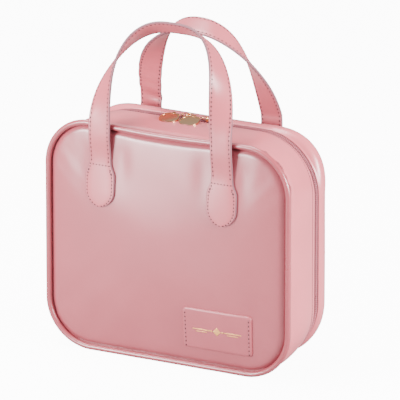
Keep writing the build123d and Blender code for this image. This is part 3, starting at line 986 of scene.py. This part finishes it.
# across, down, width, height and turn of the two long rules, the two short ones and the diamonds
for x, down, width, height, turn in (
        (-15, 0, 17, 1.0, 0), (15, 0, 17, 1.0, 0), (-15, 2, 11, 0.7, 0), (15, 2, 11, 0.7, 0),
        (0, 0, 5.5, 5.5, pi / 4), (-5.2, 0, 1.5, 1.5, pi / 4), (5.2, 0, 1.5, 1.5, pi / 4)):
    deselect()
    bar_place = Vector((x, 0, -down)) * mm
    bar_place += Vector((patch_middle.x, front_face - patch_thick - foil_lift, patch_middle.z))
    bpy.ops.mesh.primitive_cube_add(size=1, location=bar_place)
    bar = bpy.context.object
    bar.scale = (width * mm, 0.14 * mm, height * mm)
    bar.rotation_euler = (0, turn, 0)
    settle(bar)
    bpy.ops.object.mode_set(mode="EDIT")
    bpy.ops.mesh.select_all(action="SELECT")
    bpy.ops.mesh.subdivide(number_cuts=4)
    bpy.ops.object.mode_set(mode="OBJECT")
    for vertex in bar.data.vertices:
        vertex.co = on_panel(vertex.co)
    foil_parts.append(bar)
deselect()
for bar in foil_parts:
    bar.select_set(True)
bpy.context.view_layer.objects.active = foil_parts[0]
bpy.ops.object.join()
ornament = bpy.context.object
ornament.name = "patch_foil"
wear(ornament, foil, "base", "gold_metal")


# ---- Sliders and pulls --------------------------------------------------------------------
# Die-cast sliders with a bridge, curb chains of wire links and stamped round pulls with a
# raised rim, all plated light rose gold.
gold = mottled("rose gold plating", (0.80, 0.47, 0.25), (0.74, 0.42, 0.22), 0.16, 160, 1.0)

for side in ("left", "right"):
    for part, edge, body in (("slider", 0.35 * mm, f"{side}_slider"), ("chain", 0, f"{side}_pull"),
                             ("disc", 0.3 * mm, f"{side}_pull")):
        node = f"{side}_{part}"
        deselect()
        metal = bpy.data.objects[node].copy()
        metal.data = metal.data.copy()
        metal.name = f"{node}_metal"
        bpy.context.collection.objects.link(metal)
        pick(metal)
        bpy.ops.object.mode_set(mode="EDIT")
        bpy.ops.mesh.select_all(action="SELECT")
        bpy.ops.mesh.remove_doubles(threshold=0.00001)
        bpy.ops.object.mode_set(mode="OBJECT")
        if edge:
            apply_modifier(metal, "BEVEL", width=edge, segments=3, limit_method="ANGLE",
                           angle_limit=radians(40))
        wear(metal, gold, body, "gold_metal", node)
        bpy.ops.object.shade_smooth_by_angle(angle=radians(35))


# ---- Inside -------------------------------------------------------------------------------
# Foam and board between the skins, a woven lining, loose padded dividers in the deep half and
# a fabric pocket on the lid's lining.
lining_weave = woven("lining weave", (0.34, 0.13, 0.145), (0.30, 0.11, 0.125), 1000)
dress(lining_weave, "base_lining", "side_lining", "lid_lining")
divider_weave = woven("divider weave", (0.30, 0.115, 0.125), (0.27, 0.10, 0.11), 900)
foam_pink = mottled("padding foam", (0.40, 0.20, 0.21), (0.35, 0.17, 0.18), 0.9, 900)
dress(foam_pink, "lid_foam")
wear(gusset_foam, foam_pink, "base", "padding_foam", "gusset_foam")
board_pale = woven("stiffener board", (0.62, 0.58, 0.50), (0.56, 0.52, 0.45), 300)
dress(board_pale, "front_board")

for node, thin in (("long_divider", 2), ("left_divider", 0), ("right_divider", 0)):
    low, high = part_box(node)
    deselect()
    bpy.ops.mesh.primitive_cube_add(size=2)
    pad = bpy.context.object
    pad.name = f"{node}_pad"
    bpy.ops.object.mode_set(mode="EDIT")
    bpy.ops.mesh.select_all(action="SELECT")
    bpy.ops.mesh.subdivide(number_cuts=23)
    bpy.ops.object.mode_set(mode="OBJECT")
    middle, half = (low + high) / 2, (high - low) / 2
    flat_axes = [axis for axis in range(3) if axis != thin]
    for vertex in pad.data.vertices:
        place = vertex.co.copy()
        edge = 1.0
        for axis in flat_axes:
            reach = (1 - abs(place[axis])) * half[axis]
            edge = min(edge, sqrt(min(reach / (3.5 * mm), 1)))
        spot = Vector([middle[axis] + place[axis] * half[axis] for axis in range(3)])
        fullness = (0.42 + 0.58 * edge) * (0.94 + 0.06 * lumps(spot, 0.02, 4))
        spot[thin] = middle[thin] + place[thin] * half[thin] * fullness
        vertex.co = spot
    wear(pad, divider_weave, "base", "divider_fabric", node)

pocket_low, pocket_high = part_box("lid_pocket")


def pocket_place(u, v):
    """The pocket's front: sewn down at the sides and bottom, slack and bowed at its open top."""
    wide = pocket_high.x - pocket_low.x
    x = pocket_low.x + wide * u
    bow = sin(pi * u) ** 0.7 * sin(pi * min(0.1 + 0.9 * v, 1) / 2) ** 0.5
    sag = 5 * mm * (4 * u * (1 - u)) * v ** 4
    z = pocket_low.z + (pocket_high.z - pocket_low.z) * v - sag
    y = pocket_high.y - 0.8 * mm - (pocket_high.y - pocket_low.y - 1.6 * mm) * bow * (v > 0)
    ripple = 0.35 * mm * sin(u * 31 + v * 3) * v * sin(pi * u)
    return Vector((x, min(y + ripple, pocket_high.y - 0.5 * mm), z))


pocket = wrapped_sheet("pocket_cloth", 90, 40, pocket_place)
apply_modifier(pocket, "SOLIDIFY", thickness=0.8 * mm, offset=0)
wear(pocket, lining_weave, "lid", "lining_fabric", "lid_pocket")


def binding_place(u, v):
    """A folded binding over the pocket's open edge."""
    middle = pocket_place(min(max(u, 0.002), 0.998), 1)
    turn = 2 * pi * v
    return middle + Vector((0, 0.9 * mm * cos(turn), 1.8 * mm * sin(turn) - 1.2 * mm))


binding = wrapped_sheet("pocket_binding", 80, 12, binding_place, joined=True)
wear(binding, strap_pink, "lid", "lining_fabric")


# ---- Floor, light and camera --------------------------------------------------------------
# A plain white floor, a soft key light with a low strip under it on the left, a fill on the
# right and a light overhead.
deselect()
bpy.ops.mesh.primitive_plane_add(size=6, location=(0, 0, 0))
floor = bpy.context.object
floor.name = "floor"
paper, paper_shader, paper_nodes, paper_link = new_material("floor paper")
seen = paper_nodes.new("ShaderNodeLightPath")
paper_glow = paper_nodes.new("ShaderNodeMath")
paper_glow.operation = "MULTIPLY"
paper_glow.inputs[1].default_value = 11
paper_link(seen.outputs["Is Camera Ray"], paper_glow.inputs[0])
paper_link(paper_glow.outputs["Value"], paper_shader.inputs["Emission Strength"])
paper_shader.inputs["Emission Color"].default_value = (1, 1, 1, 1)
paper_shader.inputs["Base Color"].default_value = (0.30, 0.29, 0.29, 1)
paper_shader.inputs["Roughness"].default_value = 0.9
floor.data.materials.append(paper)

world = bpy.data.worlds.new("studio")
bpy.context.scene.world = world
world.use_nodes = True
world.node_tree.nodes["Background"].inputs["Color"].default_value = (1, 1, 1, 1)
world.node_tree.nodes["Background"].inputs["Strength"].default_value = 0.6


def soft_light(name, place, aim, size, power, tall=None):
    """An area light that looks at a point, square unless its height is given."""
    light = bpy.data.lights.new(name, "AREA")
    light.shape = "RECTANGLE"
    light.size = size
    light.size_y = tall or size
    light.energy = power
    lamp = bpy.data.objects.new(name, light)
    bpy.context.collection.objects.link(lamp)
    lamp.location = place
    lamp.rotation_euler = (Vector(aim) - Vector(place)).to_track_quat("-Z", "Y").to_euler()


soft_light("key", (-0.42, -0.72, 0.36), (-0.05, 0, 0.22), 0.30, 20)
soft_light("low strip", (-0.38, -0.72, 0.075), (-0.01, 0, 0.17), 0.20, 2.6, tall=0.08)
soft_light("fill", (1.3, -0.1, 0.45), (0, 0, 0.12), 0.5, 78)
soft_light("top", (-0.3, -0.1, 1.3), (0, 0, 0.1), 0.7, 48)

camera_azimuth = radians(28.05)
camera_elevation = radians(17.8)
camera_distance = 6.0
view_width = 0.34698  # of the view, at the object
camera_data = bpy.data.cameras.new("camera")
camera_data.sensor_width = 36
camera_data.lens = camera_data.sensor_width * camera_distance / view_width
camera = bpy.data.objects.new("camera", camera_data)
bpy.context.collection.objects.link(camera)
towards = Vector((sin(camera_azimuth) * cos(camera_elevation),
                  -cos(camera_azimuth) * cos(camera_elevation), sin(camera_elevation)))
rightwards = Vector((cos(camera_azimuth), sin(camera_azimuth), 0))
upwards = rightwards.cross(-towards)
aim = Vector((0, 0, 0.15)) + rightwards * 8.8 * mm - upwards * 12.4 * mm
camera.location = aim + towards * camera_distance
camera.rotation_euler = (-towards).to_track_quat("-Z", "Y").to_euler()
bpy.context.scene.camera = camera
